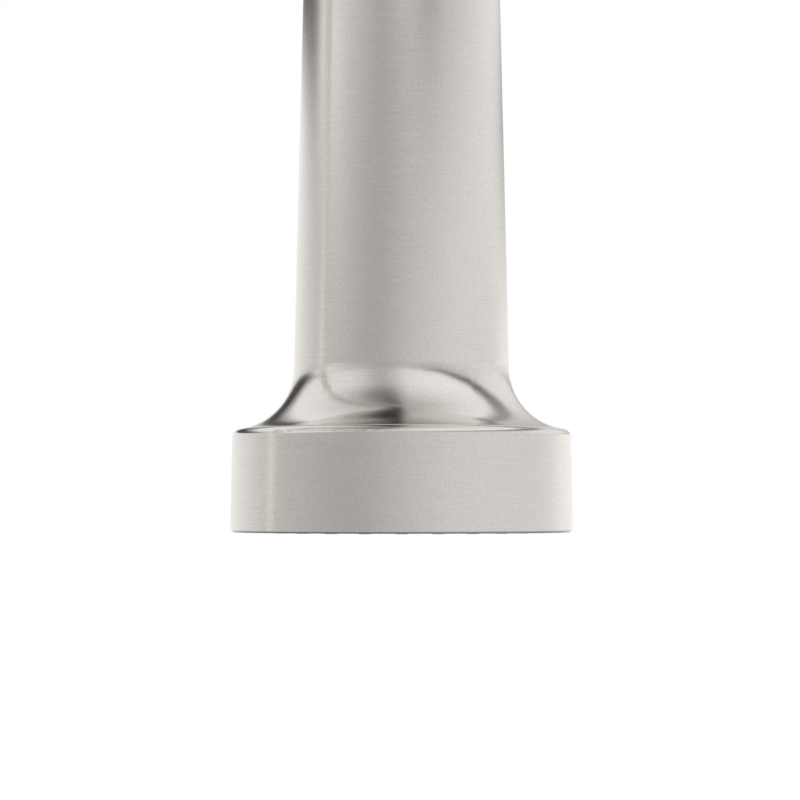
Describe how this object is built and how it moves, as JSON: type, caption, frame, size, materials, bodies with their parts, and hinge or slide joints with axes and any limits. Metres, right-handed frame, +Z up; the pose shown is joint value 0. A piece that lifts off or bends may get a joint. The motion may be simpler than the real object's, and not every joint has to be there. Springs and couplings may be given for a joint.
{
  "type": "pull-down kitchen faucet",
  "caption": "Single-lever deck-mounted kitchen faucet with a swivelling gooseneck and a pull-down spray head on a hose.",
  "frame": {"origin": "centre of the base's underside, on the top of the deck", "axes": "+Z up out of the deck, the spout points to -Y (towards the user) and the lever stands on +X"},
  "size_m": [0.088, 0.2665, 0.591],
  "materials": {
    "satin_steel": "satin, finely brushed around the axis",
    "brass": "machined",
    "copper": "drawn copper tube, weighed as brass",
    "bright_steel": "machined",
    "black_rubber": "moulded",
    "grey_silicone": "moulded, soft",
    "dark_plastic": "moulded, fine texture",
    "white_plastic": "moulded",
    "orange_plastic": "moulded",
    "blue_plastic": "moulded",
    "ceramic": "lapped alumina",
    "magnet": "nickel-plated magnet",
    "hose_braid": "braided nylon over a water hose",
    "face_metal": "satin"
  },
  "bodies": {
    "root": {"column_body": "satin_steel", "base_flange": "satin_steel", "base_gasket": "black_rubber", "shank": "brass", "valve_body": "brass", "port_seals": "black_rubber", "cartridge_housing": "white_plastic", "fixed_disc": "ceramic", "bonnet_nut": "brass", "trim_dome": "satin_steel", "supply_tubes": "copper", "outlet_tube": "copper", "inlet_nipples": "brass", "outlet_stem": "brass", "upper_bush": "white_plastic", "lower_bush": "white_plastic", "spout_screw": "bright_steel", "thrust_washer": "dark_plastic", "hose_lower": "hose_braid", "hose_end": "brass"},
    "spout": {"spout_tube": "satin_steel", "spout_spigot": "satin_steel", "dock_collar": "satin_steel", "dock_guide": "dark_plastic", "dock_magnet": "magnet", "hose_upper": "hose_braid"},
    "hose_tip": {"swivel_nipple": "brass", "hose_crimp": "bright_steel", "hose_drop": "hose_braid"},
    "spray_head": {"head_shell": "satin_steel", "spray_plate": "face_metal", "nozzle_mat": "grey_silicone", "aerator_housing": "white_plastic", "aerator_screen": "bright_steel", "spray_engine": "dark_plastic", "connector_nut": "brass", "filter_washer": "black_rubber", "check_valve": "white_plastic", "head_magnet": "magnet", "rocker_pin": "bright_steel"},
    "poppet": {"check_poppet": "blue_plastic"},
    "rocker": {"rocker_button": "dark_plastic"},
    "diverter": {"diverter_plunger": "white_plastic"},
    "carrier": {"stem_carrier": "orange_plastic", "stem_pin": "bright_steel"},
    "disc": {"moving_disc": "ceramic", "disc_driver": "orange_plastic"},
    "handle": {"stem": "bright_steel", "handle_hub": "satin_steel", "handle_lever": "satin_steel", "handle_screw": "bright_steel", "screw_cap": "dark_plastic"},
    "clamp": {"mounting_nut": "brass", "rubber_washer": "black_rubber", "steel_washer": "bright_steel", "clamp_screws": "bright_steel"}
  },
  "joints": [
    {"name": "spout_swivel", "type": "hinge", "parent": "root", "child": "spout", "pos_m": [0, 0, 0.175], "axis": [0, 0, 1], "continuous": true},
    {"name": "head_pull", "type": "slide", "parent": "spout", "child": "hose_tip", "axis": [0, 0, -1], "range_m": [0, 0.4], "deforming": ["hose_drop"]},
    {"name": "head_spin", "type": "hinge", "parent": "hose_tip", "child": "spray_head", "pos_m": [0, -0.21, 0.313], "axis": [0, 0, 1], "continuous": true},
    {"name": "rocker_tilt", "type": "hinge", "parent": "spray_head", "child": "rocker", "pos_m": [0, -0.2228, 0.286], "axis": [1, 0, 0], "range_deg": [-8, 8]},
    {"name": "plunger_slide", "type": "slide", "parent": "spray_head", "child": "diverter", "axis": [0, 1, 0], "range_m": [-0.0012, 0.0012]},
    {"name": "poppet_slide", "type": "slide", "parent": "spray_head", "child": "poppet", "axis": [0, 0, -1], "range_m": [0, 0.0015], "stiffness_N_per_m": 50, "springref_m": -0.002},
    {"name": "handle_turn", "type": "hinge", "parent": "root", "child": "carrier", "pos_m": [0.033, 0, 0.095], "axis": [1, 0, 0], "range_deg": [-50, 50]},
    {"name": "handle_lift", "type": "hinge", "parent": "carrier", "child": "handle", "pos_m": [0.033, 0, 0.095], "axis": [0, 1, 0], "range_deg": [0, 22]},
    {"name": "disc_slide", "type": "slide", "parent": "carrier", "child": "disc", "axis": [0, 0, 1], "range_m": [-0.0001, 0.0028]},
    {"name": "clamp_slide", "type": "slide", "parent": "root", "child": "clamp", "axis": [0, 0, 1], "range_m": [-0.01, 0.026]}
  ],
  "couplings": [
    {"joint": "plunger_slide", "follows": "rocker_tilt", "m_per_rad": 0.008},
    {"joint": "disc_slide", "follows": "handle_lift", "m_per_rad": 0.006537}
  ]
}
